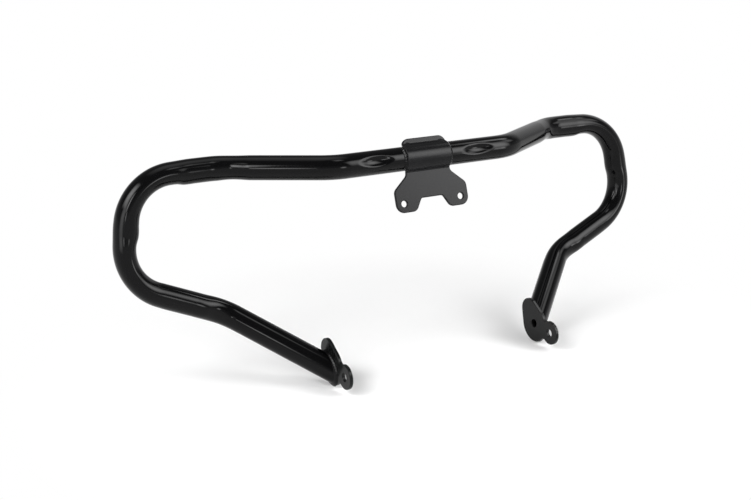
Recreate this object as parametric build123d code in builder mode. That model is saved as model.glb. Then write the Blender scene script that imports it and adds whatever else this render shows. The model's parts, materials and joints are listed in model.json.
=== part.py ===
"""Engine guard for a motorcycle: one bent tube, a pressed centre bracket, two foot plates and their welds.

The frame is level: X runs across the machine, Y points forward and Z up. The origin lies on the rear face of the
bracket's flange, halfway between its two bolt holes. The guard is mirrored about the plane X = 0.
"""
import os
from math import acos, atan2, cos, degrees, hypot, radians, sin, sqrt, tan

from build123d import *

# Driving dimensions, in millimetres and degrees

# Tube stock and its bends
tube_diameter = 31.75
tube_wall = 2.4
bend_radius = 63.5
bend_flattening = 0.10
oval_ease = 12.0
longest_ease = 0.45

# Straight runs between the bends, from the middle outwards
middle_run = 232.0
offset_run = 111.5
shoulder_run = 48.5
side_run = 31.0
lower_run = 74.5

# Directions of the runs, as drawn from above or from behind
offset_angle = 31.7
side_lean_out = 9.4
side_lean_back = 5.3
lower_swing_back = 5.6
lower_fall = 22.5
leg_swing_back = 39.9
leg_fall = 33.1

# Pressed dents in the rear of the middle run
dent_reach = 78.5
dent_length = 46.0
dent_depth = 4.0
dent_nose = 10.0

# Centre bracket
bracket_rake = 18.0
bracket_thickness = 4.0
saddle_width = 68.0
saddle_clearance = 0.2
flange_setback = 8.5
flange_drop = 59.3
crease_radius = 2.5
lip_height = 25.3
lip_corner = 11.0
bolt_spacing = 87.5
bolt_hole = 8.6
ear_margin = 12.0
ear_corner = 10.0
shoulder_height = 18.0
shoulder_corner = 10.0
neck_height = 36.5
neck_corner = 8.0
notch_width = 33.0
notch_height = 4.5
notch_lean = 30.0
notch_corner = 4.0

# Foot plates, their features placed from where the leg's axis meets the plate
foot_gap = 319.0
foot_thickness = 4.8
heel_back = 5.1
heel_up = 3.8
heel_radius = 25.5
tip_forward = 7.1
tip_up = 21.4
tip_radius = 17.0
foot_hole = 11.5
foot_hole_back = 5.7
foot_hole_up = 5.1
lug_back = 41.0
lug_up = 1.1
lug_radius = 16.5
lug_hole = 11.0
lug_blend = 6.0

# Weld beads
bracket_bead = 3.6
foot_bead = 3.0
bead_crown = 0.4

# Sizes that follow from the driving dimensions
tube_radius = tube_diameter / 2
saddle_bore = tube_radius + saddle_clearance
saddle_outside = saddle_bore + bracket_thickness
flange_front = flange_setback - bracket_thickness
crease_height = sqrt(saddle_outside**2 - flange_setback**2)
bore_height = sqrt(saddle_bore**2 - flange_front**2)
dent_tool = (dent_length**2 / 4 + dent_depth**2) / (2 * dent_depth)
ear_reach = bolt_spacing / 2 + ear_margin
notch_spread = (notch_height + ear_margin) * tan(radians(notch_lean))
foot_face = foot_gap / 2 + foot_thickness

# The bracket's seat is the rear face of its flange, raked so that it faces back and a little up
rake = radians(bracket_rake)
across = Vector(1, 0, 0)
seat = Plane(origin=(0, 0, 0), x_dir=across, z_dir=(0, -cos(rake), sin(rake)))
bar_centre = seat.from_local_coords(Vector(0, flange_drop, -flange_setback))
dent_axis = bar_centre + across * dent_reach + seat.z_dir * (tube_radius - dent_depth + dent_nose)

# The runs and their directions, from the middle to the foot, with the flattening of the bend after each
offset_way = Vector(1, tan(radians(offset_angle)), 0).normalized()
side_way = Vector(tan(radians(side_lean_out)), -tan(radians(side_lean_back)), -1).normalized()
lower_way = Vector(-1, -tan(radians(lower_swing_back)), -tan(radians(lower_fall))).normalized()
leg_way = Vector(-1, -tan(radians(leg_swing_back)), -tan(radians(leg_fall))).normalized()
ways = [across, offset_way, across, side_way, lower_way, leg_way]
runs = [middle_run / 2, offset_run, shoulder_run, side_run, lower_run]
flattenings = [0, 0, bend_flattening, bend_flattening, bend_flattening]


class Bend:
    """One bend of the tube: a turn of bend_radius from one direction into the next, beginning at a point."""

    def __init__(self, start, way_in, way_out, flattening):
        self.start = start
        self.flattening = flattening
        self.turn = acos(way_in.dot(way_out))
        self.inward = (way_out - way_in * cos(self.turn)).normalized()
        self.end_inward = self.inward * cos(self.turn) - way_in * sin(self.turn)
        centre = start + self.inward * bend_radius
        self.axis = Axis(centre, way_in.cross(way_out))
        self.end = centre - self.end_inward * bend_radius


bends = []
reached = bar_centre
for number, flattening in enumerate(flattenings):
    reached = reached + ways[number] * runs[number]
    bends.append(Bend(reached, ways[number], ways[number + 1], flattening))
    reached = bends[-1].end
leg_run = (foot_face - reached.X) / leg_way.X
leg_end = reached + leg_way * leg_run


def ease(bend, run):
    """Length of a run beside a bend over which the tube turns from the bend's oval section to a round one."""
    if bend is None or bend.flattening == 0:
        return 0
    return min(oval_ease, run * longest_ease)


def section(flattening, inset):
    """Section of the tube, its skin moved in by inset: round, or an oval squeezed in the plane of a bend."""
    if flattening == 0:
        return Circle(tube_radius - inset)
    return Ellipse(tube_radius * (1 - flattening) - inset, tube_radius * (1 + flattening / 2) - inset)


def tube_half(inset):
    """The right half of the tube as a bar, its skin moved in by inset, from the middle plane to the foot plate."""
    with BuildPart() as half:
        stretches = []
        point = bar_centre
        before = None
        for way, run, after in zip(ways, runs + [leg_run + tube_diameter], bends + [None]):
            round_from = point + way * ease(before, run)
            round_to = point + way * (run - ease(after, run))
            if ease(before, run):
                with BuildSketch(Plane(origin=point, x_dir=before.end_inward, z_dir=way)):
                    section(before.flattening, inset)
                with BuildSketch(Plane(origin=round_from, x_dir=before.end_inward, z_dir=way)):
                    section(0, inset)
                stretches.append(loft(ruled=True, mode=Mode.PRIVATE))
            with BuildSketch(Plane(origin=round_from, z_dir=way)):
                section(0, inset)
            stretches.append(extrude(amount=(round_to - round_from).length, mode=Mode.PRIVATE))
            if ease(after, run):
                with BuildSketch(Plane(origin=round_to, x_dir=after.inward, z_dir=way)):
                    section(0, inset)
                with BuildSketch(Plane(origin=after.start, x_dir=after.inward, z_dir=way)):
                    section(after.flattening, inset)
                stretches.append(loft(ruled=True, mode=Mode.PRIVATE))
            if after:
                with BuildSketch(Plane(origin=after.start, x_dir=after.inward, z_dir=way)):
                    section(after.flattening, inset)
                stretches.append(revolve(axis=after.axis, revolution_arc=degrees(after.turn), mode=Mode.PRIVATE))
                point = after.end
            before = after
        add(stretches)
        # The leg is cut off flush with the outer face of the foot plate
        with BuildSketch(Plane.YZ.offset(foot_face)):
            with Locations((leg_end.Y, leg_end.Z)):
                Circle(2 * tube_diameter)
        extrude(amount=-2 * tube_diameter, mode=Mode.SUBTRACT)
        # The dent is pressed in by a barrel-shaped tool that lies along the tube
        with BuildSketch(Plane(origin=dent_axis, x_dir=across, z_dir=seat.y_dir)):
            with Locations((0, dent_nose - dent_tool)):
                Circle(dent_tool + inset)
            Rectangle(2 * dent_tool, dent_tool, align=(Align.CENTER, Align.MIN), mode=Mode.INTERSECT)
        revolve(axis=Axis(dent_axis, across), mode=Mode.SUBTRACT)
    return half.part


# Main tube: one hollow length, both halves in one piece
bar = tube_half(0)
bore = tube_half(tube_wall)
with BuildPart() as main_tube:
    add(bar)
    add(bore, mode=Mode.SUBTRACT)
    mirror(about=Plane.YZ)

# Centre bracket: a hat section drawn across the tube, trimmed to the outline seen square to the flange
strip_low = -flange_drop - ear_margin
with BuildPart() as centre_bracket:
    with BuildSketch(Plane(origin=bar_centre - across * ear_reach, x_dir=seat.y_dir, z_dir=across)) as hat:
        Circle(saddle_outside)
        with Locations((0, flange_front)):
            Rectangle(2 * saddle_outside, 2 * saddle_outside, align=(Align.CENTER, Align.MAX), mode=Mode.SUBTRACT)
        with Locations((strip_low, flange_front)):
            Rectangle(lip_height - strip_low, bracket_thickness, align=(Align.MIN, Align.MIN))
        Circle(saddle_bore, mode=Mode.SUBTRACT)
        creases = [place for place in hat.vertices() if abs(abs(place.X) - crease_height) < 0.01]
        fillet(creases, radius=crease_radius)
        rims = [place for place in hat.vertices() if abs(abs(place.X) - bore_height) < 0.01]
        fillet(rims, radius=crease_radius + bracket_thickness)
    extrude(amount=2 * ear_reach)
    with BuildSketch(seat):
        with BuildLine():
            FilletPolyline(
                (0, flange_drop + lip_height),
                (saddle_width / 2, flange_drop + lip_height),
                (saddle_width / 2, neck_height),
                (ear_reach, shoulder_height),
                (ear_reach, -ear_margin),
                (notch_width / 2 + notch_spread, -ear_margin),
                (notch_width / 2, notch_height),
                (0, notch_height),
                radius=[lip_corner, neck_corner, shoulder_corner, ear_margin, ear_corner, notch_corner],
            )
            mirror(about=Plane.YZ)
        make_face()
        with GridLocations(bolt_spacing, 0, 2, 1):
            Circle(bolt_hole / 2, mode=Mode.SUBTRACT)
    extrude(amount=2 * tube_diameter, both=True, mode=Mode.INTERSECT)

# Foot plates: an egg-shaped body under the leg's end, its tip forward, and a round lug behind it
leg_mark = Vector(leg_end.Y, leg_end.Z)
heel = leg_mark + Vector(-heel_back, heel_up)
tip = leg_mark + Vector(tip_forward, tip_up)
lug = leg_mark + Vector(-lug_back, lug_up)
foot_hole_mark = leg_mark + Vector(-foot_hole_back, foot_hole_up)
with BuildPart() as right_foot_plate:
    with BuildSketch(Plane.YZ.offset(foot_gap / 2)) as plate:
        with Locations(heel):
            Circle(heel_radius)
        with Locations(tip):
            Circle(tip_radius)
        make_hull()
        with Locations(lug):
            Circle(lug_radius)
        joins = [place for place in plate.vertices() if abs((Vector(place) - lug).length - lug_radius) < 0.01]
        fillet(joins, radius=lug_blend)
        with Locations(foot_hole_mark):
            Circle(foot_hole / 2, mode=Mode.SUBTRACT)
        with Locations(lug):
            Circle(lug_hole / 2, mode=Mode.SUBTRACT)
    extrude(amount=foot_thickness)

# Welds at the saddle's ends: a fillet bead carried round the tube from crease to crease
bead_half_turn = acos(flange_setback / saddle_outside)
bead_way = seat.z_dir * cos(bead_half_turn) + seat.y_dir * sin(bead_half_turn)
with BuildPart() as right_bracket_weld:
    with BuildSketch(Plane(bar_centre + across * (saddle_width / 2), across, across.cross(bead_way))):
        with BuildLine():
            Polyline((bracket_bead, tube_radius), (0, tube_radius), (0, tube_radius + bracket_bead))
            middle = bracket_bead / 2 + bead_crown
            ThreePointArc((0, tube_radius + bracket_bead), (middle, tube_radius + middle), (bracket_bead, tube_radius))
        make_face()
    revolve(axis=Axis(bar_centre, across), revolution_arc=2 * degrees(bead_half_turn))

# Welds round the leg ends: a bead that leans from the plate up onto the tube
slant = atan2(leg_way.Z, leg_way.Y)
bead_top = leg_end + leg_way * (foot_bead / leg_way.X)
with BuildPart() as right_foot_weld:
    for place, height, leg in ((leg_end, 0, foot_bead), (bead_top, foot_bead, bead_crown)):
        with BuildSketch(Plane.YZ.offset(foot_face + height)):
            with Locations((place.Y, place.Z)):
                Ellipse(tube_radius / -leg_way.X + leg, tube_radius + leg, rotation=degrees(slant))
    loft(ruled=True)
    add(bar, mode=Mode.SUBTRACT)
    add(bore, mode=Mode.SUBTRACT)

# Left-hand pieces
with BuildPart() as left_foot_plate:
    mirror(right_foot_plate.part, about=Plane.YZ)
with BuildPart() as left_bracket_weld:
    mirror(right_bracket_weld.part, about=Plane.YZ)
with BuildPart() as left_foot_weld:
    mirror(right_foot_weld.part, about=Plane.YZ)

pieces = {
    "main_tube": main_tube,
    "centre_bracket": centre_bracket,
    "right_foot_plate": right_foot_plate,
    "left_foot_plate": left_foot_plate,
    "right_bracket_weld": right_bracket_weld,
    "left_bracket_weld": left_bracket_weld,
    "right_foot_weld": right_foot_weld,
    "left_foot_weld": left_foot_weld,
}
os.makedirs("parts", exist_ok=True)
for label, piece in pieces.items():
    piece.part.label = label
    export_step(piece.part, f"parts/{label}.step")
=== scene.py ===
"""A painted engine guard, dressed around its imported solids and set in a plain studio.

Lengths are metres in the part's own frame: X across the machine, Y forward, Z up. The origin lies on the
rear face of the bracket's flange, halfway between its bolt holes, and the guard is mirrored about the
plane X = 0.
"""
import json
from math import acos, atan2, cos, pi, radians, sin, sqrt, tan

import bpy
import numpy as np
from bpy.props import FloatProperty, FloatVectorProperty, PointerProperty
from bpy.types import NodeSocket, Operator, Panel, PropertyGroup, Scene
from mathutils import Matrix, Vector
from mathutils.geometry import delaunay_2d_cdt


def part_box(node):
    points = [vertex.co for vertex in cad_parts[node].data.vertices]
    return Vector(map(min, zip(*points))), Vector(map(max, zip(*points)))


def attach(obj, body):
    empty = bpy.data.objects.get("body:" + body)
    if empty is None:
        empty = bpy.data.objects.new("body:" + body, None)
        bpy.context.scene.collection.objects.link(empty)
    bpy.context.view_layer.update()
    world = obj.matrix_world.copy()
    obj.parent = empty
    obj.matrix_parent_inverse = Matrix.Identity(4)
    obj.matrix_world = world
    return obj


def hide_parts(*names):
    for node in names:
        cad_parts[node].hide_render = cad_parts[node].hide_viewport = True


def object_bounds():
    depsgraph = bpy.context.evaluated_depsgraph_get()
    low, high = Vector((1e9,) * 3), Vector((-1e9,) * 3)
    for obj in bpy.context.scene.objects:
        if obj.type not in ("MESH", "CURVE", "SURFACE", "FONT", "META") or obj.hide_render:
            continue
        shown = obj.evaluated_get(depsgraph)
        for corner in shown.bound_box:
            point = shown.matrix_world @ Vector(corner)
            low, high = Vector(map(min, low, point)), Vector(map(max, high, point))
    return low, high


bl_info = {
    "name": "Engine guard",
    "version": (1, 0, 0),
    "blender": (4, 5, 0),
    "location": "3D View > Sidebar > Guard",
    "description": "Builds a painted engine guard around its packed solids, and a studio to show it in",
    "category": "Mesh",
}

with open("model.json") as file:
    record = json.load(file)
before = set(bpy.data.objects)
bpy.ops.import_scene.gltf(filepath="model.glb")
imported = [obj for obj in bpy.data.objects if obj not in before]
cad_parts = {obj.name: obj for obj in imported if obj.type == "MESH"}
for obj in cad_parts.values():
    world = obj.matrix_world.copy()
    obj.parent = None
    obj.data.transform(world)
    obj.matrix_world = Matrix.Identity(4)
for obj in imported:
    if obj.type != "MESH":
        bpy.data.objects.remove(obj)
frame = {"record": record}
cad_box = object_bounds()

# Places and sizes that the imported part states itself
MM = 0.001
mounts = {mount["name"]: mount for mount in frame["record"]["mounts"]}
frame_bolts = mounts["frame_bolts"]
plate_low, plate_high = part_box("right_foot_plate")
FOOT_FACE = plate_high.x
FOOT_THICKNESS = plate_high.x - plate_low.x
FLOOR_LEVEL = cad_box[0].z

# Directions, and the factors that mirror a point
ACROSS = np.array((1.0, 0.0, 0.0))
SEAT_BACK = np.array(frame_bolts["axis"])
SEAT_UP = np.cross(SEAT_BACK, ACROSS)
MIRROR = np.array((-1.0, 1.0, 1.0))

# Fineness of the meshes: numbers of points, lengths of steps and the angle from which an edge is sharp
TUBE_AROUND = 72
SKIN_STEP = 0.0022
BORE_STEP = 0.008
PLATE_STEP = 0.0007
ROLL_POINTS = 5
PROFILE_POINTS = 6000
SADDLE_COLUMNS = 20
SADDLE_MARGIN = 0.003
BEAD_COLUMNS = 13
SADDLE_BEAD_ROWS = 240
LEG_BEAD_ROWS = 360
FLOOR_RINGS = 24
FLOOR_SPOKES = 96
SHARP_ANGLE = radians(50)

# Forms that are the same wherever they are used
ARCH_POWER = 1.5
DENT_MARGIN = 3
RIPPLE_REST = 0.6
TAPER_START = 0.12
TAPER_SLOPE = 0.8

# Noise in the paints, and its values between which the gloss changes
CLOUDS = {"Scale": 14, "Detail": 4}
SPECKS = {"Scale": 900, "Detail": 2}
PEEL_DETAIL = 1.5
GLOSS_FROM, GLOSS_TO = 0.3, 0.7

# Camera and studio
PHOTO_WIDTH = 751
SENSOR = 0.036
CLIP_NEAR, CLIP_FAR = 0.05, 50
FLOOR_GAP = 0.0005
FLOOR_ROUGHNESS = 0.9
SURROUND_LIGHT = (0.06, 0.06, 0.06, 1)
# Shades of the surround, each after the sine of its height
SURROUND_SHADES = ((0.0, (1, 1, 1, 1)), (0.16, (0.5, 0.5, 0.51, 1)), (0.5, (0.2, 0.2, 0.2, 1)))
LAMP_DISTANCE = 1.8
# Each lamp's turn to the right of straight forward and rise, in degrees, its width, height and brightness
LAMPS = {
    "left_box": (-110, 12, 1.10, 1.10, 4.6),
    "left_high_box": (-96, 36, 1.30, 1.10, 12.5),
    "left_spot": (-128, 24, 0.32, 0.80, 14.0),
    "left_low_spot": (-135, 7.3, 0.22, 0.30, 11.0),
    "near_low_spot": (173, 6, 0.42, 0.42, 9.0),
    "right_box": (138, 29, 1.30, 1.60, 9.2),
    "right_low_box": (139, 1.5, 0.50, 0.50, 9.0),
    "right_mid_box": (106, 38, 0.65, 0.75, 3.4),
    "right_high_box": (86, 51, 0.55, 0.50, 6.5),
    "over_spot": (159, 72, 0.50, 0.50, 4.0),
    "top_box": (-5, 78, 1.60, 1.50, 1.45),
    "back_box": (60, 22, 1.70, 1.10, 0.8),
}


# Sizes and colours


def length(name, text, metres):
    """A property that holds a length."""
    return FloatProperty(name=name, description=text, default=metres, unit="LENGTH", precision=5)


def angle(name, text, degrees):
    """A property that holds an angle."""
    return FloatProperty(name=name, description=text, default=radians(degrees), subtype="ANGLE")


def share(name, text, value):
    """A property that holds a share between nothing and all."""
    return FloatProperty(name=name, description=text, default=value, min=0, max=1, subtype="FACTOR")


def colour(name, text, value):
    """A property that holds a colour."""
    return FloatVectorProperty(
        name=name, description=text, default=value, size=3, min=0, max=1, subtype="COLOR"
    )


class TubeSizes(PropertyGroup):
    """Sizes of the bent tube, from the middle run outwards to the foot."""

    diameter: length("Diameter", "Outside of the tube", 0.03175)
    wall: length("Wall", "Thickness of the tube's wall", 0.0024)
    bend_radius: length("Bend radius", "Radius of every bend, on the centre line", 0.0635)
    inner_step: length("Inner step", "Depth of the step in the inner wall where a bend begins", 0.0017)
    ease: length("Ease", "Length of the tube over which the inner wall steps in", 0.012)
    swelling: length("Swelling", "Height of the swelling before the step", 0.0007)
    swelling_reach: length("Swelling reach", "Half the length of the swelling", 0.010)
    outer_sink: length("Outer sink", "Depth to which a bend's outer wall sinks in", 0.0023)
    sink_reach: length("Sink reach", "Length beside a bend over which the outer wall sinks in", 0.020)
    sink_lead: length("Sink lead", "Distance of the deepest sink before the middle of the bend", 0.007)
    leg_bend_share: share("Leg bend share", "Share of the flattening in the short bend to the leg", 0.6)
    waist: length("Waist", "Depth of the pinch where the bend to the shoulder begins", 0.0010)
    waist_reach: length("Waist reach", "Half the length of the pinch", 0.022)
    waist_top: share("Waist top", "How much shallower the pinch is on top of the tube", 0.55)
    shoulder_lead: length("Shoulder lead", "How much earlier the shoulder's bend steps in", 0.005)
    shoulder_swell: share("Shoulder swell", "Share of the swelling that the shoulder's bend has", 0.35)
    middle_run: length("Middle run", "Straight length through the bracket", 0.232)
    offset_run: length("Offset run", "Straight length that carries the loop forward", 0.1115)
    shoulder_run: length("Shoulder run", "Straight length along the top of the loop", 0.0485)
    side_run: length("Side run", "Straight length down the side of the loop", 0.031)
    lower_run: length("Lower run", "Straight length back under the loop", 0.0745)
    leg_start: length("Leg start", "First length of the leg, over which its bend fades out", 0.025)
    offset_angle: angle("Offset angle", "Turn of the offset run, seen from above", 31.7)
    side_lean_out: angle("Side lean out", "Lean of the side run away from the middle", 9.4)
    side_lean_back: angle("Side lean back", "Lean of the side run towards the rear", 5.3)
    lower_swing: angle("Lower swing", "Swing of the lower run towards the rear", 5.6)
    lower_fall: angle("Lower fall", "Fall of the lower run", 22.5)
    leg_swing: angle("Leg swing", "Swing of the leg towards the rear", 39.9)
    leg_fall: angle("Leg fall", "Fall of the leg", 33.1)
    dent_reach: length("Dent reach", "Distance of each pressed dent from the middle", 0.0785)
    dent_length: length("Dent length", "Length of each dent along the tube", 0.046)
    dent_depth: length("Dent depth", "Depth of each dent", 0.004)
    dent_nose: length("Dent nose", "Radius of the pressing tool across the tube", 0.010)
    dent_edge: length("Dent edge", "Roundness of the dent's edge", 0.0022)
    coat: length("Coat", "Thickness of the paint on the tube", 0.0003)


class BracketSizes(PropertyGroup):
    """Sizes of the pressed centre bracket."""

    thickness: length("Thickness", "Thickness of the plate", 0.004)
    saddle_width: length("Saddle width", "Width of the saddle along the tube", 0.068)
    clearance: length("Clearance", "Gap between the saddle and the tube", 0.0002)
    setback: length("Setback", "Distance of the flange's rear face behind the tube's axis", 0.0085)
    drop: length("Drop", "Height of the tube's axis over the bolt holes, along the flange", 0.0593)
    crease_radius: length("Crease radius", "Radius inside the creases beside the saddle", 0.0025)
    lip_height: length("Lip height", "Height of the lip's top over the tube's axis", 0.0253)
    lip_corner: length("Lip corner", "Radius of the lip's corners", 0.011)
    ear_margin: length("Ear margin", "Distance of the ear's edges from the bolt holes", 0.012)
    ear_corner: length("Ear corner", "Radius of the ear beside the notch", 0.010)
    shoulder_height: length("Shoulder height", "Height where the ear's outer edge turns in", 0.018)
    shoulder_corner: length("Shoulder corner", "Radius where the ear's outer edge turns in", 0.010)
    neck_height: length("Neck height", "Height where the flange meets the saddle's width", 0.0365)
    neck_corner: length("Neck corner", "Radius of the neck", 0.008)
    notch_width: length("Notch width", "Width of the notch between the ears", 0.033)
    notch_height: length("Notch height", "Height of the notch over the bolt holes", 0.0045)
    notch_lean: angle("Notch lean", "Lean of the notch's sides away from upright", 30)
    notch_corner: length("Notch corner", "Radius of the notch's corners", 0.004)
    edge: length("Edge", "Roundness of the painted edges", 0.0012)


class FootSizes(PropertyGroup):
    """Sizes of the foot plates, placed from where the leg's axis meets the plate."""

    heel_back: length("Heel back", "Heel circle behind the leg", 0.0051)
    heel_up: length("Heel up", "Heel circle above the leg", 0.0038)
    heel_radius: length("Heel radius", "Radius of the heel", 0.0255)
    tip_forward: length("Tip forward", "Tip circle before the leg", 0.0071)
    tip_up: length("Tip up", "Tip circle above the leg", 0.0214)
    tip_radius: length("Tip radius", "Radius of the tip", 0.017)
    lug_radius: length("Lug radius", "Radius of the lug", 0.0165)
    lug_blend: length("Lug blend", "Radius of the hollows beside the lug", 0.006)
    edge: length("Edge", "Roundness of the painted edges", 0.0008)


class BeadSizes(PropertyGroup):
    """Sizes of the weld beads."""

    bracket_leg: length("Bracket leg", "Width of the beads at the saddle's ends", 0.0036)
    foot_leg: length("Foot leg", "Width of the beads round the legs", 0.003)
    crown: length("Crown", "Rise of a bead over its flat face", 0.0005)
    pitch: length("Pitch", "Distance between two ripples", 0.0032)
    ripple: length("Ripple", "Height of the ripples", 0.00022)
    bow: share("Bow", "How far a ripple bows along the bead, as a share of the pitch", 0.45)


class PaintColours(PropertyGroup):
    """Colours of the paints."""

    tube: colour("Tube", "Gloss paint of the tube", (0.0010, 0.0010, 0.0012))
    tube_haze: colour("Tube haze", "Gloss paint where it is thin or dusty", (0.0026, 0.0026, 0.0028))
    plate: colour("Plate", "Paint of the foot plates", (0.0040, 0.0042, 0.0042))
    plate_haze: colour("Plate haze", "Foot plates where they are dusty", (0.0075, 0.0079, 0.0079))
    bracket: colour("Bracket", "Paint of the bracket", (0.0060, 0.0060, 0.0065))
    bracket_haze: colour("Bracket haze", "Bracket where it is dusty", (0.011, 0.011, 0.012))


class StageSettings(PropertyGroup):
    """Camera and floor of the studio."""

    eye: FloatVectorProperty(
        name="Eye",
        description="Place of the camera",
        default=(-0.8508, -1.3674, 0.3974),
        subtype="TRANSLATION",
        unit="LENGTH",
    )
    yaw: angle("Yaw", "Turn of the camera to the right of straight forward", 29.15)
    pitch: angle("Pitch", "Tilt of the camera below the horizon", 16.16)
    roll: angle("Roll", "Lean of the camera about its line of sight", -0.507)
    focal_pixels: FloatProperty(
        name="Focal length", description="Focal length in pixels of the photograph", default=1247.5
    )
    floor: colour("Floor", "Colour of the floor", (0.90, 0.90, 0.90))
    floor_radius: length("Floor radius", "Radius of the floor", 6.0)
    fade_start: length("Fade start", "Distance from the middle where the floor begins to whiten", 0.22)
    fade_end: length("Fade end", "Distance from the middle where the floor is white", 0.62)


# Shapes


def unit(vector):
    """The vector with a length of one."""
    return np.asarray(vector, float) / np.linalg.norm(vector)


def turned(vector, axis, angles):
    """A vector turned about a unit axis by each of several angles, after Rodrigues."""
    cosine, sine = np.cos(angles)[:, None], np.sin(angles)[:, None]
    return vector * cosine + np.cross(axis, vector) * sine + axis * (axis @ vector) * (1 - cosine)


def smooth(share_done):
    """A share from 0 to 1 that starts and ends gently: 3 t squared minus 2 t cubed."""
    t = np.clip(share_done, 0, 1)
    return t * t * (3 - 2 * t)


def arch(places):
    """A low arch, one at place 0 and nothing at -1 and 1: a power of one minus the place squared."""
    return np.clip(1 - places**2, 0, 1) ** ARCH_POWER


def smooth_least(first, second, width):
    """The smaller of two values, with the corner between them rounded over a width."""
    share_first = np.clip(0.5 + 0.5 * (second - first) / width, 0, 1)
    return second + (first - second) * share_first - width * share_first * (1 - share_first)


def grid_faces(rows, columns, first=0, wrap_rows=False):
    """Four-cornered faces of a grid of points, closed round its columns and, if asked, its rows."""
    row = np.arange(rows if wrap_rows else rows - 1)[:, None]
    column = np.arange(columns)[None, :]
    after_row, after_column = (row + 1) % rows, (column + 1) % columns
    corners = [row * columns + column, row * columns + after_column]
    corners += [after_row * columns + after_column, after_row * columns + column]
    quads = np.stack([np.broadcast_to(corner, (len(row), columns)) for corner in corners], -1)
    return first + quads.reshape(-1, 4)


def add_piece(name, points, face_groups, normals=None):
    """A smooth mesh object from points and from arrays of faces, each of one number of corners."""
    corners = np.concatenate([faces.ravel() for faces in face_groups]).astype(np.int32)
    counts = np.concatenate([np.full(len(faces), faces.shape[1]) for faces in face_groups])
    mesh = bpy.data.meshes.new(name)
    mesh.vertices.add(len(points))
    mesh.loops.add(len(corners))
    mesh.polygons.add(len(counts))
    mesh.vertices.foreach_set("co", points.astype(np.float32).ravel())
    mesh.loops.foreach_set("vertex_index", corners)
    mesh.polygons.foreach_set("loop_start", (np.cumsum(counts) - counts).astype(np.int32))
    mesh.update(calc_edges=True)
    if mesh.validate():
        raise ValueError(f"the mesh of {name} has faults")
    mesh.shade_smooth()
    if normals is None:
        mesh.set_sharp_from_angle(angle=SHARP_ANGLE)
    else:
        mesh.normals_split_custom_set_from_vertices(normals.astype(np.float32))
    piece = bpy.data.objects.new(name, mesh)
    bpy.context.scene.collection.objects.link(piece)
    return piece


def dress(piece, node, material):
    """Lets a piece stand for its solid, ride with the part and wear its paint."""
    piece.data.materials.append(material)
    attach(piece, "root")
    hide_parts(node)


def add_pair(name, node, material, points, face_groups, normals=None):
    """The right piece of a pair and its mirror image on the left, both dressed."""
    for side, mirror, order in (("right", 1, 1), ("left", MIRROR, -1)):
        groups = [faces[:, ::order] for faces in face_groups]
        facing = None if normals is None else normals * mirror
        piece = add_piece(f"{side}_{name}", points * mirror, groups, facing)
        dress(piece, f"{side}_{node}", material)


# Bent tube


def bar_centre(bracket):
    """Middle of the tube's axis, above the bolt holes and ahead of the flange."""
    return SEAT_UP * bracket.drop - SEAT_BACK * bracket.setback


def run_ways(tube):
    """Directions of the straight runs of the right half, from the middle to the foot."""
    offset = unit((1, tan(tube.offset_angle), 0))
    side = unit((tan(tube.side_lean_out), -tan(tube.side_lean_back), -1))
    lower = unit((-1, -tan(tube.lower_swing), -tan(tube.lower_fall)))
    leg = unit((-1, -tan(tube.leg_swing), -tan(tube.leg_fall)))
    return [ACROSS, offset, ACROSS, side, lower, leg]


def run_steps(run, step):
    """Distances along a run, one step apart or a little less."""
    return np.linspace(0, run, int(np.ceil(run / step)) + 1)


def bend_walls(tube, beyond, arc_length, strength, lead, swell):
    """How far a bend's inner and outer wall lie inside the round tube, at distances beyond its beginning.

    The inner wall swells, steps in before the bend and comes back along it, later the faster. The outer
    wall sinks in a low arch over the bend and beside it, deepest before the bend's middle. Swelling and
    step come earlier by lead, and swell is the share of the swelling.
    """
    early = beyond + lead
    back = 1 - np.clip(beyond / arc_length, 0, 1) ** 2
    swelling = swell * arch((early + tube.ease + tube.swelling_reach / 2) / tube.swelling_reach)
    inner = tube.inner_step * smooth(1 + early / tube.ease) * back - tube.swelling * swelling
    half_arc = arc_length / 2
    outer = tube.outer_sink * arch((beyond + tube.sink_lead - half_arc) / (half_arc + tube.sink_reach))
    return strength * np.stack([inner, outer], -1)


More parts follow.
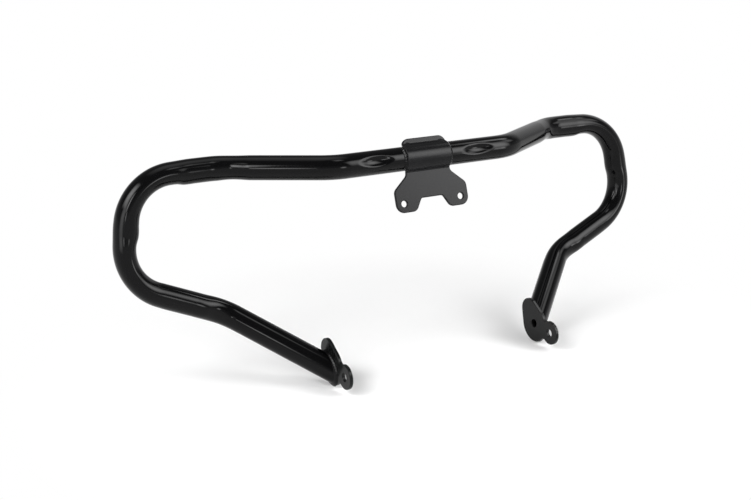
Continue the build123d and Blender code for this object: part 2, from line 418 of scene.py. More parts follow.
def tube_rings(tube, bracket, step, fine_step):
    """Rings of the right half, up to the plain leg, as centres, section axes, bend directions and insets.

    The centre line is a chain of straight runs and arcs of one radius. The section axes are carried along
    without twist: they stay as they are on a run, and turn with the tube about the axis of a bend. Each
    ring has the inward directions and wall insets of the bends before and after it, and the pinch's depth.
    """
    ways = run_ways(tube)
    half_dent = tube.dent_length / 2 + tube.dent_edge * DENT_MARGIN
    runs = [tube.middle_run / 2, tube.offset_run, tube.shoulder_run]
    runs += [tube.side_run, tube.lower_run, tube.leg_start]
    plain, full = (0, 0, 0), (1, 0, 1)
    shoulder, short = (1, tube.shoulder_lead, tube.shoulder_swell), (tube.leg_bend_share, 0, 1)
    shapes = [plain, plain, shoulder, full, short, plain]
    pinched = [0, tube.waist, 0, 0, 0, 0]
    point, first = bar_centre(bracket), SEAT_UP
    inward_before, length_before, before = SEAT_UP, 1, plain
    rings = []
    for number, (way, run, after) in enumerate(zip(ways, runs, shapes)):
        along = run_steps(run, step)
        if number == 0:
            dent = tube.dent_reach + run_steps(2 * half_dent, fine_step) - half_dent
            clear = np.abs(along - tube.dent_reach) > half_dent + step / 2
            along = np.sort(np.concatenate([along[clear], dent]))
        last = number == len(runs) - 1
        inward_after, length_after = inward_before, 1
        if not last:
            turn = acos(way @ ways[number + 1])
            inward_after = unit(ways[number + 1] - way * cos(turn))
            length_after = turn * tube.bend_radius
        count = (len(along), 1)
        walls_before = bend_walls(tube, length_before + along, length_before, *before)
        walls_after = bend_walls(tube, along - run, length_after, *after)
        centre = point + along[:, None] * way
        inward = np.tile(np.stack([inward_before, inward_after]), (len(along), 1, 1))
        walls = np.stack([walls_before, walls_after], 1)
        pinch = pinched[number] * arch((along - run) / tube.waist_reach)
        rings.append((centre, np.tile(way, count), np.tile(first, count), inward, walls, pinch))
        if last:
            break
        axis = unit(np.cross(way, ways[number + 1]))
        angles = run_steps(turn, step / tube.bend_radius)[1:-1]
        walked = angles * tube.bend_radius
        inward = turned(inward_after, axis, angles)
        pivot = point + run * way + inward_after * tube.bend_radius
        centre = pivot - inward * tube.bend_radius
        section = turned(way, axis, angles), turned(first, axis, angles)
        walls = bend_walls(tube, walked, length_after, *after)
        walls = np.stack([walls, np.zeros_like(walls)], 1)
        pinch = pinched[number] * arch(walked / tube.waist_reach)
        rings.append((centre, *section, np.stack([inward, inward], 1), walls, pinch))
        end = np.array([turn])
        inward_before = turned(inward_after, axis, end)[0]
        first = turned(first, axis, end)[0]
        point = pivot - inward_before * tube.bend_radius
        length_before, before = length_after, after
    centre, way, first, inward, walls, pinch = (np.concatenate(part) for part in zip(*rings))
    return centre, first, np.cross(way, first), inward, walls, pinch


def tube_skin(tube, bracket, inset, step, around):
    """Rows of points on the tube's skin, moved in by inset, from the left foot to the right one.

    A ring is a circle whose inner and outer half are pressed flatter along the inward direction of a bend,
    and which grows across it by half of their mean. The leg runs on along its own direction until it meets
    the outer face of the foot plate. The dents push the skin behind the face of a barrel-shaped tool that
    lies along the tube.
    """
    centre, first, second, inward, walls, pinch = tube_rings(tube, bracket, step, step / 2)
    turn = np.linspace(0, 2 * pi, around, endpoint=False)[None, :, None]
    radial = np.cos(turn) * first[:, None] + np.sin(turn) * second[:, None]
    pinch = pinch[:, None] * (1 - tube.waist_top * np.maximum(radial[..., 2], 0))
    skin = centre[:, None] + (tube.diameter / 2 - inset - pinch)[..., None] * radial
    for bend in range(2):
        toward = np.einsum("nmk,nk->nm", radial, inward[:, bend])
        pressed = np.where(toward > 0, walls[:, bend, :1], walls[:, bend, 1:]) * toward
        grown = np.maximum(walls[:, bend].sum(axis=1), 0)[:, None] / 4
        skin = skin - (pressed + grown * toward)[..., None] * inward[:, None, bend]
        skin = skin + grown[..., None] * radial
    leg_way = run_ways(tube)[-1]
    reach = (FOOT_FACE - skin[-1, :, 0]) / leg_way[0]
    shares = run_steps(1, step / reach.max())[1:]
    skin = np.concatenate([skin, skin[-1] + shares[:, None, None] * reach[:, None] * leg_way])
    tool = (tube.dent_length**2 / 4 + tube.dent_depth**2) / (2 * tube.dent_depth)
    tool_axis = bar_centre(bracket) + ACROSS * tube.dent_reach
    tool_axis = tool_axis + SEAT_BACK * (tube.diameter / 2 - tube.dent_depth + tube.dent_nose)
    beside, over, height = ((skin - tool_axis) @ way for way in (ACROSS, SEAT_UP, SEAT_BACK))
    barrel = np.sqrt(np.maximum((tool + inset) ** 2 - beside**2, 0)) + tube.dent_nose - tool
    face = -np.sqrt(np.maximum(np.maximum(barrel, 0) ** 2 - over**2, 0))
    pressed = smooth_least(height, face, tube.dent_edge)
    pressed = np.where(np.abs(beside) < tube.dent_length, pressed, height)
    skin = skin + (pressed - height)[..., None] * SEAT_BACK
    return np.concatenate([skin[:0:-1] * MIRROR, skin])


def build_tube(tube, bracket, material):
    """The hollow tube: its outer skin, its bore and the two cut ends that join them."""
    outer = tube_skin(tube, bracket, -tube.coat, SKIN_STEP, TUBE_AROUND)
    bore = tube_skin(tube, bracket, tube.wall, BORE_STEP, TUBE_AROUND)
    points = np.concatenate([outer.reshape(-1, 3), bore.reshape(-1, 3)])
    bore_begin = outer.shape[0] * TUBE_AROUND
    outer_faces = grid_faces(outer.shape[0], TUBE_AROUND)
    bore_faces = grid_faces(bore.shape[0], TUBE_AROUND, bore_begin)[:, ::-1]
    ring = np.arange(TUBE_AROUND)
    ends = []
    for outer_ring, bore_ring, order in (
        (ring, bore_begin + ring, 1),
        (bore_begin - TUBE_AROUND + ring, len(points) - TUBE_AROUND + ring, -1),
    ):
        quads = [outer_ring, bore_ring, np.roll(bore_ring, -1), np.roll(outer_ring, -1)]
        ends.append(np.stack(quads, -1)[:, ::order])
    piece = add_piece("bent_tube", points, [outer_faces, bore_faces, *ends])
    dress(piece, "main_tube", material)


# Plates


def arc(centre, radius, start, stop, step=PLATE_STEP):
    """Points of an arc in a plane, with angles that rise or fall from start to stop."""
    count = max(2, int(np.ceil(abs(stop - start) * radius / step)) + 1)
    turn = np.linspace(start, stop, count)
    return np.asarray(centre) + radius * np.stack([np.cos(turn), np.sin(turn)], -1)


def rounded_corners(corners, radii):
    """A closed outline through anticlockwise corners, each rounded by an arc that touches its sides."""
    corners = np.asarray(corners, float)
    arcs = []
    for number, radius in enumerate(radii):
        corner = corners[number]
        back = unit(corners[number - 1] - corner)
        on = unit(corners[(number + 1) % len(corners)] - corner)
        half = acos(np.clip(back @ on, -1, 1)) / 2
        centre = corner + unit(back + on) * radius / sin(half)
        start = corner + back * radius / tan(half) - centre
        stop = corner + on * radius / tan(half) - centre
        sweep = atan2(start[0] * stop[1] - start[1] * stop[0], start @ stop)
        first = atan2(start[1], start[0])
        arcs.append(arc(centre, radius, first, first + sweep, PLATE_STEP / 2))
    return np.concatenate(arcs)


def even_steps(outline):
    """A closed outline walked again in even steps."""
    closed = np.concatenate([outline, outline[:1]])
    walked = np.concatenate([[0], np.cumsum(np.linalg.norm(np.diff(closed, axis=0), axis=1))])
    places = np.linspace(0, walked[-1], int(np.ceil(walked[-1] / PLATE_STEP)), endpoint=False)
    return np.stack([np.interp(places, walked, closed[:, k]) for k in range(2)], -1)


def hole_loop(centre, radius):
    """A round hole's loop, walked clockwise so that its outward side is the hole's middle."""
    return arc(centre, radius, 2 * pi, 0)[:-1]


def outward(loop):
    """Unit directions square to a closed loop, on the right hand of its way, away from the material."""
    way = np.roll(loop, -1, axis=0) - np.roll(loop, 1, axis=0)
    way /= np.linalg.norm(way, axis=1, keepdims=True)
    return np.stack([way[:, 1], -way[:, 0]], -1)


def with_third(flat, third):
    """Rows of plane points or directions with a third value added, one for each row."""
    return np.concatenate([flat, np.broadcast_to(third[:, None, None], flat.shape[:2] + (1,))], -1)


def face_triangles(flat, sizes):
    """Anticlockwise triangles of a plate's face, between the points of its loops and its inner points.

    The sizes are the numbers of points in the outline and in each hole, and the inner points come last.
    Triangles whose corners all lie on one hole's loop fill that hole, and are left out.
    """
    chains = [begin + np.arange(size) for begin, size in zip(np.cumsum(sizes) - sizes, sizes)]
    edges = np.concatenate([np.stack([chain, np.roll(chain, -1)], -1) for chain in chains])
    inside_only, merge_distance = 1, 1e-9
    _, _, triangles, origins, _, _ = delaunay_2d_cdt(
        flat.tolist(), edges.tolist(), [], inside_only, merge_distance
    )
    triangles = np.array(origins)[np.array(triangles), 0]
    a, b, c = (flat[triangles[:, k]] for k in range(3))
    left, right = (b[:, 0] - a[:, 0]) * (c[:, 1] - a[:, 1]), (c[:, 0] - a[:, 0]) * (b[:, 1] - a[:, 1])
    triangles = np.where((left > right)[:, None], triangles, triangles[:, ::-1])
    loop_number = np.repeat(np.arange(len(sizes)), sizes)
    loop_number = np.concatenate([loop_number, np.zeros(len(flat) - sum(sizes), int)])[triangles]
    fills_hole = (loop_number[:, 0] > 0) & np.all(loop_number == loop_number[:, :1], axis=1)
    return triangles[~fills_hole]


def plate_shell(loops, inner_points, thickness, edge):
    """A flat plate with rounded edges, as points (x, y, depth), normals and faces.

    The first loop is the outline, the others are holes. Each is carried round by a profile that rolls over
    one edge, runs down the wall and rolls over the other. The two faces are triangles between the loops and
    the inner points.
    """
    roll = np.linspace(0, pi / 2, ROLL_POINTS)
    inset = edge * np.concatenate([1 - np.sin(roll), 1 - np.cos(roll)])
    depth = np.concatenate([edge * (1 - np.cos(roll)), thickness - edge * (1 - np.sin(roll))])
    lean = np.concatenate([np.sin(roll), np.cos(roll)])
    facing = np.concatenate([np.cos(roll), -np.sin(roll)])
    points, normals, faces, near_loops, far_loops = [], [], [], [], []
    first = 0
    for loop in loops:
        away = outward(loop)[None]
        points.append(with_third(loop[None] - inset[:, None, None] * away, depth).reshape(-1, 3))
        normals.append(with_third(lean[:, None, None] * away, facing).reshape(-1, 3))
        faces.append(grid_faces(len(inset), len(loop), first)[:, ::-1])
        near_loops.append(first + np.arange(len(loop)))
        first += len(inset) * len(loop)
        far_loops.append(first - len(loop) + np.arange(len(loop)))
    count = len(inner_points)
    near = np.concatenate([inner_points, np.zeros((count, 1))], -1)
    far = np.concatenate([inner_points, np.full((count, 1), thickness)], -1)
    upright = np.tile((0.0, 0.0, 1.0), (count, 1))
    all_points = np.concatenate([*points, near, far])
    all_normals = np.concatenate([*normals, upright, -upright])
    near_index = np.concatenate([*near_loops, first + np.arange(count)])
    far_index = np.concatenate([*far_loops, first + count + np.arange(count)])
    triangles = face_triangles(all_points[near_index, :2], [len(loop) for loop in loops])
    faces = [np.concatenate(faces), near_index[triangles], far_index[triangles[:, ::-1]]]
    return all_points, all_normals, faces


# Centre bracket


def hat_profile(bracket, tube):
    """The bracket's rear face from ear to lip: distance walked, height, stand-off, slope and knots.

    The slope is a chain of straight lines over the distance walked: none along the flange, rising through
    the lower crease, falling evenly over the saddle, rising through the upper crease, and none along the
    lip. The knots are the distances where one of these ends and the next begins.
    """
    saddle = tube.diameter / 2 + bracket.clearance + bracket.thickness
    crease = bracket.crease_radius
    reach = sqrt((saddle + crease) ** 2 - (bracket.setback + crease) ** 2)
    lean = atan2(reach, bracket.setback + crease)
    start = bracket.drop - reach
    pieces = [crease * lean, 2 * saddle * lean, crease * lean, bracket.lip_height - reach]
    knots = np.cumsum([-2 * bracket.ear_margin, start + 2 * bracket.ear_margin] + pieces)
    walked = np.linspace(knots[0], knots[-1] + crease, PROFILE_POINTS)
    slope = np.interp(walked, knots, [0, 0, lean, -lean, 0, 0])
    step = walked[1] - walked[0]
    middle_slope = (slope[1:] + slope[:-1]) / 2
    height = knots[0] + np.concatenate([[0], np.cumsum(np.cos(middle_slope) * step)])
    stand_off = np.concatenate([[0], np.cumsum(np.sin(middle_slope) * step)])
    return walked, height, stand_off, slope, knots


def bracket_blank(bracket, bolts):
    """The bracket's outline seen square to its flange, anticlockwise, with all its corners rounded."""
    half_saddle, half_notch = bracket.saddle_width / 2, bracket.notch_width / 2
    notch_spread = (bracket.notch_height + bracket.ear_margin) * tan(bracket.notch_lean)
    ear = bolts + bracket.ear_margin
    right = [
        (half_notch, bracket.notch_height),
        (half_notch + notch_spread, -bracket.ear_margin),
        (ear, -bracket.ear_margin),
        (ear, bracket.shoulder_height),
        (half_saddle, bracket.neck_height),
        (half_saddle, bracket.drop + bracket.lip_height),
    ]
    radii = [bracket.notch_corner, bracket.ear_corner, bracket.ear_margin]
    radii += [bracket.shoulder_corner, bracket.neck_corner, bracket.lip_corner]
    left = [(-x, y) for x, y in right[::-1]]
    return even_steps(rounded_corners(right + left, radii + radii[::-1]))


def build_bracket(bracket, tube, material):
    """The pressed bracket: a flat blank with two holes, folded over the tube along the hat's profile."""
    walked, height, stand_off, slope, knots = hat_profile(bracket, tube)
    bolts = frame_bolts["dims"]["pcd_mm"] * MM / 2
    hole = frame_bolts["dims"]["hole_r_mm"] * MM
    outline = bracket_blank(bracket, bolts)
    outline[:, 1] = np.interp(outline[:, 1], height, walked)
    loops = [even_steps(outline)] + [hole_loop((side * bolts, 0.0), hole) for side in (1, -1)]
    half_saddle = bracket.saddle_width / 2
    rows = np.arange(knots[1] - PLATE_STEP, knots[4] + PLATE_STEP, PLATE_STEP)
    columns = np.linspace(-half_saddle + SADDLE_MARGIN, half_saddle - SADDLE_MARGIN, SADDLE_COLUMNS)
    inner = np.stack(np.meshgrid(columns, rows), -1).reshape(-1, 2)
    corner_height = bracket.drop + bracket.lip_height - bracket.lip_corner
    below_corners = inner[:, 1] <= np.interp(corner_height, height, walked)
    inner = inner[below_corners | (np.abs(inner[:, 0]) < half_saddle - bracket.lip_corner)]
    points, normals, faces = plate_shell(loops, inner, bracket.thickness, bracket.edge)
    tilt = np.interp(points[:, 1], walked, slope)[:, None]
    rear = np.cos(tilt) * SEAT_BACK - np.sin(tilt) * SEAT_UP
    along = np.cos(tilt) * SEAT_UP + np.sin(tilt) * SEAT_BACK
    folded = points[:, :1] * ACROSS + np.interp(points[:, 1], walked, height)[:, None] * SEAT_UP
    folded = folded + np.interp(points[:, 1], walked, stand_off)[:, None] * SEAT_BACK
    folded = folded - points[:, 2:] * rear
    bent = normals[:, :1] * ACROSS + normals[:, 1:2] * along + normals[:, 2:] * rear
    piece = add_piece("saddle_bracket", folded, faces, bent)
    dress(piece, "centre_bracket", material)


# Foot plates


def leg_mark(tube, bracket):
    """Where the axis of the right leg meets the outer face of its foot plate, as (y, z)."""
    centre = tube_rings(tube, bracket, tube.leg_start, tube.leg_start)[0][-1]
    leg = run_ways(tube)[-1]
    return (centre + leg * (FOOT_FACE - centre[0]) / leg[0])[1:]


def foot_outline(foot, mark, lug):
    """The plate's outline, anticlockwise: lug, hollow, heel, tip, the heel's other side and a hollow.

    Heel and tip are circles joined by the straight lines that touch both. Each hollow is a circle that
    touches the heel and the lug from outside.
    """
    heel = mark + np.array((-foot.heel_back, foot.heel_up))
    tip = mark + np.array((foot.tip_forward, foot.tip_up))
    to_tip, to_lug = tip - heel, np.asarray(lug) - heel
    spread = acos((foot.heel_radius - foot.tip_radius) / np.linalg.norm(to_tip))
    tip_turn, lug_turn = atan2(to_tip[1], to_tip[0]), atan2(to_lug[1], to_lug[0]) % (2 * pi)
    far = np.linalg.norm(to_lug)
    heel_reach, lug_reach = foot.heel_radius + foot.lug_blend, foot.lug_radius + foot.lug_blend
    at_heel = acos((heel_reach**2 + far**2 - lug_reach**2) / (2 * heel_reach * far))
    at_lug = acos((lug_reach**2 + far**2 - heel_reach**2) / (2 * lug_reach * far))
    low, high = lug_turn + at_heel, lug_turn - at_heel
    low_hollow = heel + heel_reach * np.array((cos(low), sin(low)))
    high_hollow = heel + heel_reach * np.array((cos(high), sin(high)))
    low_lug, high_lug = lug_turn + pi - at_lug, lug_turn + pi + at_lug
    parts = [
        arc(lug, foot.lug_radius, high_lug - 2 * pi, low_lug),
        arc(low_hollow, foot.lug_blend, low_lug + pi, low + pi),
        arc(heel, foot.heel_radius, low, tip_turn - spread + 2 * pi),
        arc(tip, foot.tip_radius, tip_turn - spread, tip_turn + spread),
        arc(heel, foot.heel_radius, tip_turn + spread, high),
        arc(high_hollow, foot.lug_blend, high + pi, high_lug - pi),
    ]
    return even_steps(np.concatenate(parts))


def build_foot_plates(foot, tube, bracket, material):
    """Both foot plates: flat, with a round lug and two holes, their outer faces under the legs' ends."""
    marks = [mounts[name] for name in ("right_foot_hole", "right_lug_hole")]
    holes = [(mount["pos_m"][1:], mount["dims"]["r_mm"] * MM) for mount in marks]
    outline = foot_outline(foot, leg_mark(tube, bracket), holes[1][0])
    loops = [outline] + [hole_loop(place, radius) for place, radius in holes]
    points, normals, faces = plate_shell(loops, np.empty((0, 2)), FOOT_THICKNESS, foot.edge)
    placed = np.stack([FOOT_FACE - points[:, 2], points[:, 0], points[:, 1]], -1)
    facing = np.stack([normals[:, 2], normals[:, 0], normals[:, 1]], -1)
    add_pair("foot", "foot_plate", material, placed, faces, facing)


# Weld beads


def bead_rows(root, first_way, second_way, leg, walked, bead, taper):
    """Rows of points across a weld bead, from its toe on one surface over its crown to its other toe.

    The face is the straight line between the toes, raised by a low hump. Ripples like a row of leaning
    coins are added to it: the height of a rectified sine along the bead, its phase bowed across the bead.
    """
    across = np.linspace(0, 1, BEAD_COLUMNS)[None, :, None]
    hump = 4 * across * (1 - across)
    out = first_way + second_way
    out = (out / np.linalg.norm(out, axis=1, keepdims=True))[:, None]
    phase = walked[:, None, None] / bead.pitch - bead.bow * hump
    ripple = bead.ripple * (np.abs(np.sin(pi * phase)) - RIPPLE_REST) * hump
    taper = taper[:, None, None]
    toes = (1 - across) * first_way[:, None] + across * second_way[:, None]
    face = root[:, None] + leg * taper * toes + (bead.crown * hump + ripple) * taper * out
    return np.concatenate([face, root[:, None]], axis=1)


def walk(root, closed):
    """Distance walked along the root of a bead."""
    ahead = np.roll(root, -1, axis=0) if closed else root[1:]
    steps = np.linalg.norm(ahead - root[: len(ahead)], axis=1)
    return np.concatenate([[0], np.cumsum(steps)])


def build_bracket_welds(bead, bracket, tube, material):
    """The beads at both ends of the saddle, each carried round the tube from crease to crease."""
    saddle = tube.diameter / 2 + bracket.clearance + bracket.thickness
    half_turn = acos(bracket.setback / saddle)
    turn = np.linspace(-half_turn, half_turn, SADDLE_BEAD_ROWS)[:, None]
    radial = np.cos(turn) * SEAT_BACK + np.sin(turn) * SEAT_UP
    root = bar_centre(bracket) + ACROSS * bracket.saddle_width / 2 + radial * tube.diameter / 2
    walked = walk(root, False)
    from_end = np.minimum(walked, walked[-1] - walked) / bead.bracket_leg
    taper = smooth(from_end * TAPER_SLOPE + TAPER_START)
    along = np.tile(ACROSS, (SADDLE_BEAD_ROWS, 1))
    rows = bead_rows(root, along, radial, bead.bracket_leg, walked, bead, taper)
    columns = rows.shape[1]
    ring = np.arange(columns)[None]
    faces = grid_faces(SADDLE_BEAD_ROWS, columns)[:, ::-1]
    caps = [ring, (SADDLE_BEAD_ROWS - 1) * columns + ring[:, ::-1]]
    points = rows.reshape(-1, 3)
    add_pair("saddle_weld", "bracket_weld", material, points, [faces, *caps])


def build_foot_welds(bead, bracket, tube, material):
    """The beads round both legs, where the slanted tube ends meet the foot plates."""
    ring = tube_skin(tube, bracket, 0, tube.leg_start, LEG_BEAD_ROWS)[-1]
    way = np.roll(ring, -1, axis=0) - np.roll(ring, 1, axis=0)
    plate_way = np.cross(way, ACROSS)
    plate_way /= np.linalg.norm(plate_way, axis=1, keepdims=True)
    from_middle = ring - ring.mean(axis=0)
    plate_way *= np.sign(np.sum(plate_way * from_middle, axis=1, keepdims=True))
    leg_way = -run_ways(tube)[-1]
    tube_way = np.tile(leg_way / leg_way[0], (LEG_BEAD_ROWS, 1))
    walked = walk(ring, True)
    ripples = round(walked[-1] / bead.pitch)
    walked = walked[:-1] * ripples * bead.pitch / walked[-1]
    taper = np.ones(LEG_BEAD_ROWS)
    rows = bead_rows(ring, plate_way, tube_way, bead.foot_leg, walked, bead, taper)
    faces = grid_faces(LEG_BEAD_ROWS, rows.shape[1], wrap_rows=True)
    turning = np.cross(way[0], plate_way[0]) @ ACROSS
    faces = faces if turning > 0 else faces[:, ::-1]
    add_pair("leg_weld", "foot_weld", material, rows.reshape(-1, 3), [faces])


# Shader nodes


def feed(tree, node, inputs):
    """Sets the inputs of a node to values, or wires them where a value is another node's socket."""
    for name, value in inputs.items():
        if isinstance(value, NodeSocket):
            tree.links.new(value, node.inputs[name])
        else:
            node.inputs[name].default_value = value


def add_node(tree, kind, inputs, **options):
    """A shader node with its options set and its inputs fed."""
    node = tree.nodes.new(f"ShaderNode{kind}")
    for name, value in options.items():
        setattr(node, name, value)
    feed(tree, node, inputs)
    return node


def number_sum(tree, operation, *values):
    """The result of a sum on numbers."""
    return add_node(tree, "Math", dict(enumerate(values)), operation=operation).outputs["Value"]


def vector_sum(tree, operation, *values):
    """The result of a sum on vectors."""
    return add_node(tree, "VectorMath", dict(enumerate(values)), operation=operation).outputs["Vector"]


def picture_rays(tree):
    """A value that is one for the rays that carry a picture: from the camera, off gloss, through glass."""
    path = add_node(tree, "LightPath", {}).outputs
    onward = number_sum(tree, "MAXIMUM", path["Is Glossy Ray"], path["Is Transmission Ray"])
    return number_sum(tree, "MAXIMUM", path["Is Camera Ray"], onward)


# Paints


def paint_skin():
    """Node group for the skin of a paint: uneven colour, uneven gloss and the peel of its surface.

    Dust is the product of wide clouds and fine specks, and tints the colour. The clouds alone change the
    roughness, and the peel is a noise of its own size.
    """
    name = "paint_skin"
    group = bpy.data.node_groups.get(name)
    if group:
        return group
    group = bpy.data.node_groups.new(name, "ShaderNodeTree")
    for way, kind, labels in (
        ("INPUT", "NodeSocketColor", ("Colour", "Haze")),
        ("INPUT", "NodeSocketFloat", ("Smooth", "Rough", "Peel Size")),
        ("OUTPUT", "NodeSocketColor", ("Colour",)),
        ("OUTPUT", "NodeSocketFloat", ("Roughness", "Peel")),
    ):
        for label in labels:
            group.interface.new_socket(label, in_out=way, socket_type=kind)
    given, made = group.nodes.new("NodeGroupInput").outputs, group.nodes.new("NodeGroupOutput")
    place = add_node(group, "TexCoord", {}).outputs["Object"]
    clouds = add_node(group, "TexNoise", {"Vector": place, **CLOUDS}).outputs["Fac"]
    specks = add_node(group, "TexNoise", {"Vector": place, **SPECKS}).outputs["Fac"]
    peel = {"Vector": place, "Scale": given["Peel Size"], "Detail": PEEL_DETAIL}
    peel = add_node(group, "TexNoise", peel).outputs["Fac"]
    dust = number_sum(group, "MULTIPLY", clouds, specks)
    tint = {"Factor": dust, "A": given["Colour"], "B": given["Haze"]}
    tint = add_node(group, "Mix", tint, data_type="RGBA").outputs["Result"]
    gloss = {"Value": clouds, "From Min": GLOSS_FROM, "From Max": GLOSS_TO}
    gloss = add_node(group, "MapRange", {**gloss, "To Min": given["Smooth"], "To Max": given["Rough"]})
    feed(group, made, {"Colour": tint, "Roughness": gloss.outputs["Result"], "Peel": peel})
    return group


def paint(name, base, haze, gloss, peel_size, peel_depth, specular):
    """A paint with an uneven skin: gloss is its least and greatest roughness, peel its surface's waves."""
    material = bpy.data.materials.get(name)
    if material:
        return material
    material = bpy.data.materials.new(name)
    material.use_nodes = True
    tree = material.node_tree
    look = {"Colour": (*base, 1), "Haze": (*haze, 1), "Smooth": gloss[0], "Rough": gloss[1]}
    look["Peel Size"] = peel_size
    skin = add_node(tree, "Group", look, node_tree=paint_skin()).outputs
    waves = {"Strength": 1, "Distance": peel_depth, "Height": skin["Peel"]}
    waves = add_node(tree, "Bump", waves).outputs["Normal"]
    shader = {"Base Color": skin["Colour"], "Roughness": skin["Roughness"], "Normal": waves}
    feed(tree, tree.nodes["Principled BSDF"], {**shader, "Specular IOR Level": specular})
    return material


def gloss_black(colours):
    """Deep gloss paint of the tube and the beads."""
    skin = {"gloss": (0.06, 0.11), "peel_size": 260, "peel_depth": 0.00001, "specular": 0.16}
    return paint("gloss_black", colours.tube, colours.tube_haze, **skin)


def plate_black(colours):
    """Paint of the foot plates, the dullest of the three."""
    skin = {"gloss": (0.16, 0.24), "peel_size": 380, "peel_depth": 0.00002, "specular": 0.16}
    return paint("plate_black", colours.plate, colours.plate_haze, **skin)


def bracket_black(colours):
    """Gloss paint of the bracket, a little duller than the tube's."""
    skin = {"gloss": (0.12, 0.20), "peel_size": 300, "peel_depth": 0.000012, "specular": 0.13}
    return paint("bracket_black", colours.bracket, colours.bracket_haze, **skin)


# Studio


def make_floor(stage):
    """A round pale floor that keeps its shadows in the middle and turns white further out.

    Its rings lie at the squares of even shares of the radius, and a fan closes its middle.
    """
    radius = stage.floor_radius * np.linspace(0, 1, FLOOR_RINGS)[1:] ** 2
    turn = np.linspace(0, 2 * pi, FLOOR_SPOKES, endpoint=False)
    spokes = np.stack([np.cos(turn), np.sin(turn), np.zeros(FLOOR_SPOKES)], -1)
    middle = np.array((0, 0, FLOOR_LEVEL - FLOOR_GAP))
    rings = middle + radius[:, None, None] * spokes
    points = np.concatenate([rings.reshape(-1, 3), middle[None]])
    ring = np.arange(FLOOR_SPOKES)
    fan = np.stack([np.full(FLOOR_SPOKES, len(points) - 1), ring, np.roll(ring, -1)], -1)
    floor = add_piece("floor", points, [grid_faces(len(radius), FLOOR_SPOKES)[:, ::-1], fan])
    material = bpy.data.materials.new("pale_floor")
    material.use_nodes = True
    tree = material.node_tree
    pale = tree.nodes["Principled BSDF"]
    look = {"Base Color": (*stage.floor, 1), "Roughness": FLOOR_ROUGHNESS, "Specular IOR Level": 0}
    feed(tree, pale, look)
    place = add_node(tree, "TexCoord", {}).outputs["Object"]
    reach = add_node(tree, "VectorMath", {0: place}, operation="LENGTH").outputs["Value"]
    fade = {"Value": reach, "From Min": stage.fade_start, "From Max": stage.fade_end}
    fade = add_node(tree, "MapRange", fade, interpolation_type="SMOOTHSTEP").outputs["Result"]
    seen = number_sum(tree, "MULTIPLY", fade, picture_rays(tree))
    white = add_node(tree, "Emission", {}).outputs["Emission"]
    blend = add_node(tree, "MixShader", {"Fac": seen, 1: pale.outputs["BSDF"], 2: white})
    feed(tree, tree.nodes["Material Output"], {"Surface": blend.outputs["Shader"]})
    floor.data.materials.append(material)


def make_surround():
    """The surround: white at and below the horizon, dim grey overhead, and a plain grey for its light."""
    world = bpy.data.worlds.new("studio")
    bpy.context.scene.world = world
    world.use_nodes = True
    tree = world.node_tree
    place = add_node(tree, "TexCoord", {}).outputs["Generated"]
    height = add_node(tree, "SeparateXYZ", {"Vector": place}).outputs["Z"]
    shades = add_node(tree, "ValToRGB", {"Fac": height})
    ramp = shades.color_ramp
    ramp.interpolation = "EASE"
    for number, (sine, shade) in enumerate(SURROUND_SHADES):
        stop = ramp.elements[number] if number < len(ramp.elements) else ramp.elements.new(sine)
        stop.position, stop.color = sine, shade
    picture = tree.nodes["Background"]
    feed(tree, picture, {"Color": shades.outputs["Color"]})
    light = add_node(tree, "Background", {"Color": SURROUND_LIGHT}).outputs["Background"]
    blend = {"Fac": picture_rays(tree), 1: light, 2: picture.outputs["Background"]}
    blend = add_node(tree, "MixShader", blend).outputs["Shader"]
    feed(tree, tree.nodes["World Output"], {"Surface": blend})


def soft_edges(lamp):
    """Lets a lamp fade to its edges by (1 - x squared)(1 - y squared), with x and y one at the edges."""
    lamp.use_nodes = True
    tree = lamp.node_tree
    place = add_node(tree, "NewGeometry", {}).outputs["Parametric"]
    centred = vector_sum(tree, "MULTIPLY_ADD", place, (2, 2, 0), (-1, -1, 0))
    square = vector_sum(tree, "MULTIPLY", centred, centred)
    rest = vector_sum(tree, "SUBTRACT", (1, 1, 1), square)
    split = add_node(tree, "SeparateXYZ", {"Vector": rest}).outputs
    fade = number_sum(tree, "MULTIPLY", split["X"], split["Y"])
    feed(tree, tree.nodes["Emission"], {"Strength": fade})


def softbox(name, azimuth, elevation, width, height, brightness):
    """A soft lamp that faces the part, with its brightness given for its middle."""
    a, e = radians(azimuth), radians(elevation)
    way = Vector((sin(a) * cos(e), cos(a) * cos(e), sin(e)))
    lamp = bpy.data.lights.new(name, "AREA")
    lamp.shape = "RECTANGLE"
    lamp.size, lamp.size_y = width, height
    lamp.energy = brightness * pi * width * height
    soft_edges(lamp)
    holder = bpy.data.objects.new(name, lamp)
    bpy.context.scene.collection.objects.link(holder)
    holder.location = way * LAMP_DISTANCE
    holder.rotation_euler = way.to_track_quat("Z", "Y").to_euler()


def make_camera(stage):
    """The camera at the photograph's place, turned by yaw, pitch and roll."""
    view = bpy.data.cameras.new("camera")
    view.sensor_width = SENSOR / MM
    view.lens = stage.focal_pixels / PHOTO_WIDTH * SENSOR / MM
    view.clip_start, view.clip_end = CLIP_NEAR, CLIP_FAR
    camera = bpy.data.objects.new("camera", view)
    bpy.context.scene.collection.objects.link(camera)
    turn = Matrix.Rotation(-stage.yaw, 4, "Z") @ Matrix.Rotation(pi / 2 - stage.pitch, 4, "X")
    camera.matrix_world = Matrix.Translation(stage.eye) @ turn @ Matrix.Rotation(stage.roll, 4, "Z")
    bpy.context.scene.camera = camera


# Operators


class GUARD_OT_bent_tube(Operator):
    """Build the bent tube"""

    bl_idname = "guard.bent_tube"
    bl_label = "Bent tube"

    def execute(self, context):
        scene = context.scene
        build_tube(scene.guard_tube, scene.guard_bracket, gloss_black(scene.guard_paint))
        return {"FINISHED"}


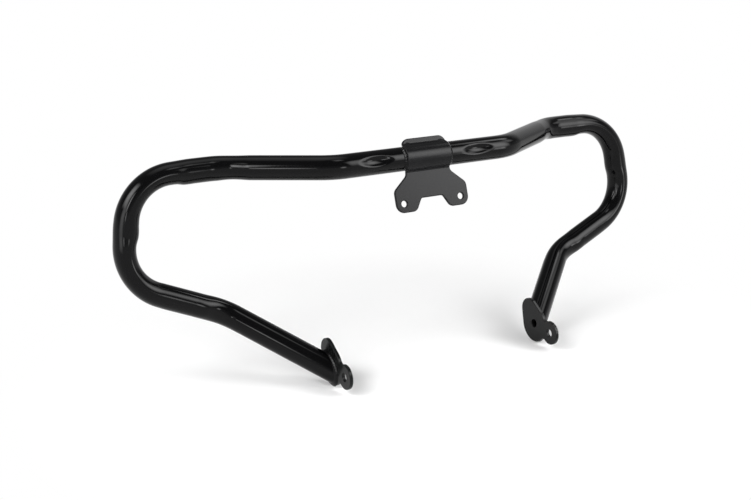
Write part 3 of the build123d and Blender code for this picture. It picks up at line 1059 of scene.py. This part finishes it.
class GUARD_OT_saddle_bracket(Operator):
    """Build the pressed centre bracket"""

    bl_idname = "guard.saddle_bracket"
    bl_label = "Centre bracket"

    def execute(self, context):
        scene = context.scene
        build_bracket(scene.guard_bracket, scene.guard_tube, bracket_black(scene.guard_paint))
        return {"FINISHED"}


class GUARD_OT_foot_plates(Operator):
    """Build both foot plates"""

    bl_idname = "guard.foot_plates"
    bl_label = "Foot plates"

    def execute(self, context):
        scene = context.scene
        coat = plate_black(scene.guard_paint)
        build_foot_plates(scene.guard_foot, scene.guard_tube, scene.guard_bracket, coat)
        return {"FINISHED"}


class GUARD_OT_welds(Operator):
    """Build the weld beads at the bracket and at the feet"""

    bl_idname = "guard.welds"
    bl_label = "Weld beads"

    def execute(self, context):
        scene = context.scene
        coat = gloss_black(scene.guard_paint)
        build_bracket_welds(scene.guard_bead, scene.guard_bracket, scene.guard_tube, coat)
        build_foot_welds(scene.guard_bead, scene.guard_bracket, scene.guard_tube, coat)
        return {"FINISHED"}


class GUARD_OT_stage(Operator):
    """Set up the floor, the light and the camera"""

    bl_idname = "guard.stage"
    bl_label = "Studio"

    def execute(self, context):
        stage = context.scene.guard_stage
        make_floor(stage)
        make_surround()
        for name, values in LAMPS.items():
            softbox(name, *values)
        make_camera(stage)
        context.scene.view_settings.view_transform = "Standard"
        return {"FINISHED"}


class GUARD_PT_sidebar(Panel):
    """Lists the pieces of the guard and their sizes"""

    bl_idname = "GUARD_PT_sidebar"
    bl_label = "Engine guard"
    bl_space_type = "VIEW_3D"
    bl_region_type = "UI"
    bl_category = "Guard"

    def draw(self, context):
        for operator in operators:
            self.layout.operator(operator.bl_idname)
        for name in settings:
            group = getattr(context.scene, name)
            box = self.layout.box()
            for field in group.bl_rna.properties.keys():
                if field not in ("rna_type", "name"):
                    box.prop(group, field)


settings = {
    "guard_tube": TubeSizes,
    "guard_bracket": BracketSizes,
    "guard_foot": FootSizes,
    "guard_bead": BeadSizes,
    "guard_paint": PaintColours,
    "guard_stage": StageSettings,
}
operators = (
    GUARD_OT_bent_tube,
    GUARD_OT_saddle_bracket,
    GUARD_OT_foot_plates,
    GUARD_OT_welds,
    GUARD_OT_stage,
)


def register():
    """Make the settings, the operators and the panel known."""
    for name, group in settings.items():
        bpy.utils.register_class(group)
        setattr(Scene, name, PointerProperty(type=group))
    for made in (*operators, GUARD_PT_sidebar):
        bpy.utils.register_class(made)


def unregister():
    """Take the settings, the operators and the panel away again."""
    for made in (GUARD_PT_sidebar, *operators):
        bpy.utils.unregister_class(made)
    for name, group in settings.items():
        delattr(Scene, name)
        bpy.utils.unregister_class(group)


def main():
    """Build every piece and the studio."""
    register()
    bpy.ops.guard.bent_tube()
    bpy.ops.guard.saddle_bracket()
    bpy.ops.guard.foot_plates()
    bpy.ops.guard.welds()
    bpy.ops.guard.stage()


if __name__ == "__main__":
    main()
